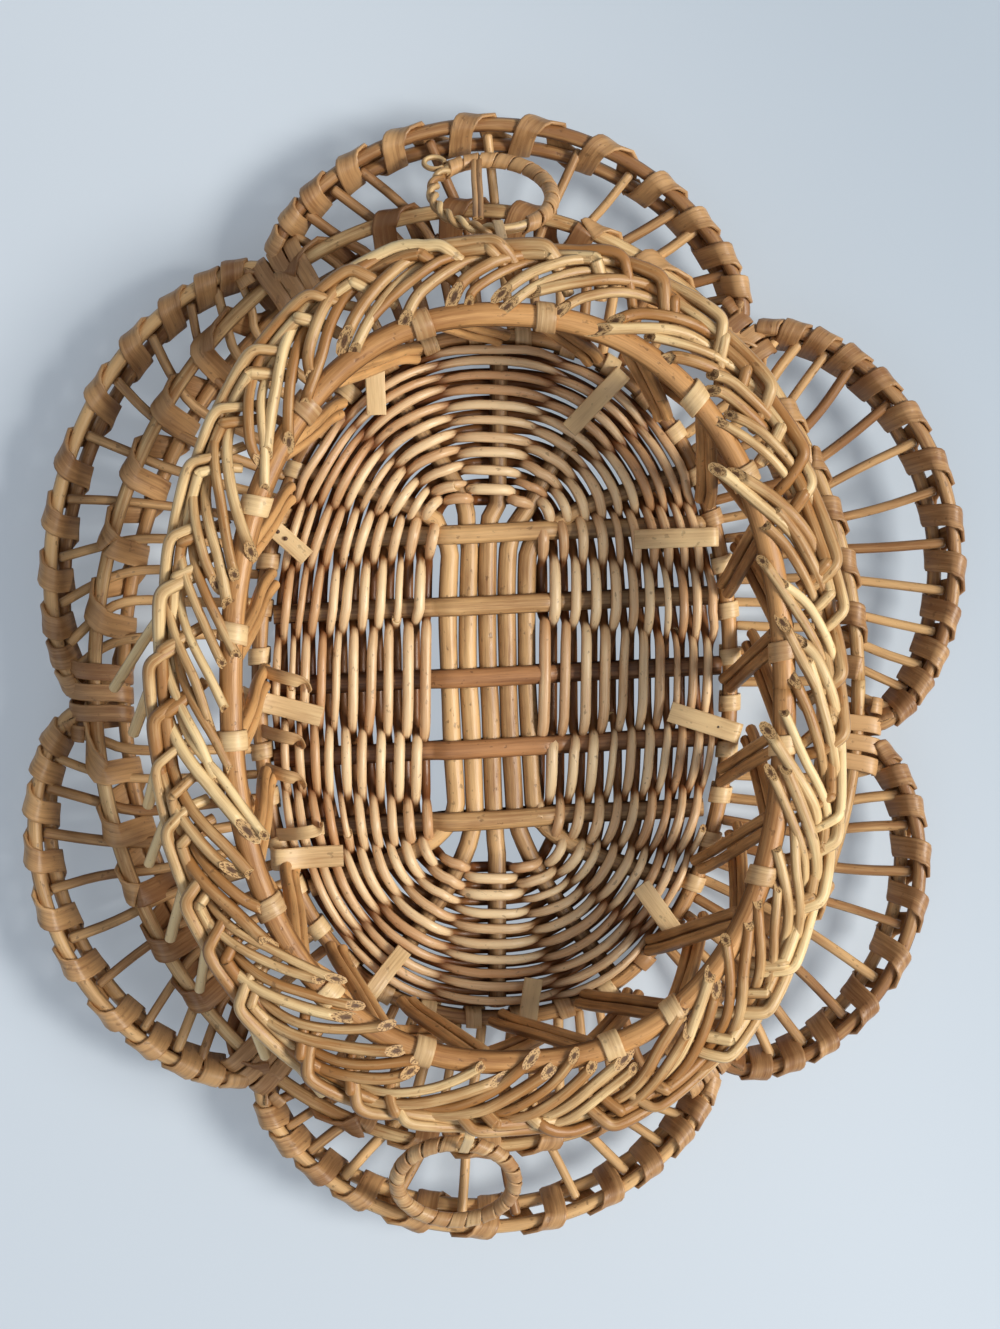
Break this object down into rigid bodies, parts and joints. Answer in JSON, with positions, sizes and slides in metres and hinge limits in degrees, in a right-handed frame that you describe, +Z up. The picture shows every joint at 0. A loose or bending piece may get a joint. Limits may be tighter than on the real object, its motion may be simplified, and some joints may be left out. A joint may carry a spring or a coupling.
{
  "type": "hanging wicker basket",
  "caption": "Oval openwork willow basket with a plaited border, an outer hoop with spoked scalloped petals and wrapped hanging rings that swing on loops.",
  "frame": {"origin": "centre of the overall box, on the surface that the base stands on", "axes": "+Z up out of the basket's mouth, +Y along its length towards the top ring of the picture, +X across it to the picture's right"},
  "size_m": [0.3497, 0.4148, 0.0782],
  "materials": {
    "pale_willow": "peeled willow, satin",
    "golden_willow": "peeled willow, satin",
    "brown_willow": "smooth, slightly glossy",
    "red_willow": "buff willow, satin",
    "skein_cane": "split willow skein, slightly glossy"
  },
  "bodies": {
    "basket": {"base_long_stick_1": "pale_willow", "base_long_stick_2": "pale_willow", "base_long_stick_3": "pale_willow", "base_long_stick_4": "pale_willow", "base_long_stick_5": "pale_willow", "base_cross_stick_1": "red_willow", "base_cross_stick_2": "red_willow", "base_cross_stick_3": "red_willow", "base_cross_stick_4": "red_willow", "base_cross_stick_5": "red_willow", "mat_upper_weave": "golden_willow", "mat_lower_weave": "golden_willow", "mat_skein_tab_1": "skein_cane", "mat_skein_tab_2": "skein_cane", "mat_skein_tab_3": "skein_cane", "mat_skein_tab_4": "skein_cane", "mat_skein_tab_5": "skein_cane", "mat_skein_tab_6": "skein_cane", "mat_skein_tab_7": "skein_cane", "mat_skein_tab_8": "skein_cane", "mat_skein_tab_9": "skein_cane", "mat_skein_tab_10": "skein_cane", "foot_ring_inner_stakes": "red_willow", "rim_hoop_outer_stakes": "brown_willow", "border_plait_strand_1": "pale_willow", "border_plait_strand_2": "pale_willow", "border_plait_strand_3": "pale_willow", "outer_hoop_upper_rod": "golden_willow", "outer_hoop_lower_rod": "brown_willow", "outer_hoop_skein": "skein_cane", "petal_right_upper_rim": "golden_willow", "petal_right_upper_spokes": "golden_willow", "petal_right_upper_skein": "skein_cane", "petal_top_rim": "golden_willow", "petal_top_spokes": "golden_willow", "petal_top_skein": "skein_cane", "petal_left_upper_rim": "golden_willow", "petal_left_upper_spokes": "golden_willow", "petal_left_upper_skein": "skein_cane", "petal_left_lower_rim": "golden_willow", "petal_left_lower_spokes": "golden_willow", "petal_left_lower_skein": "skein_cane", "petal_bottom_rim": "golden_willow", "petal_bottom_spokes": "golden_willow", "petal_bottom_skein": "skein_cane", "petal_right_lower_rim": "golden_willow", "petal_right_lower_spokes": "golden_willow", "petal_right_lower_skein": "skein_cane", "ring_top_loop": "skein_cane", "ring_bottom_loop": "skein_cane"},
    "top_ring": {"ring_top": "pale_willow", "ring_top_skein": "skein_cane"},
    "bottom_ring": {"ring_bottom": "pale_willow", "ring_bottom_skein": "skein_cane"}
  },
  "joints": [
    {"name": "top_ring_swing", "type": "hinge", "parent": "basket", "child": "top_ring", "pos_m": [-0.00539, 0.16013, 0.05675], "axis": [0.9995, 0.0303, 0], "range_deg": [0, 135]},
    {"name": "bottom_ring_swing", "type": "hinge", "parent": "basket", "child": "bottom_ring", "pos_m": [-0.01681, -0.16283, 0.05675], "axis": [-0.9936, 0.113, 0], "range_deg": [0, 135]}
  ]
}
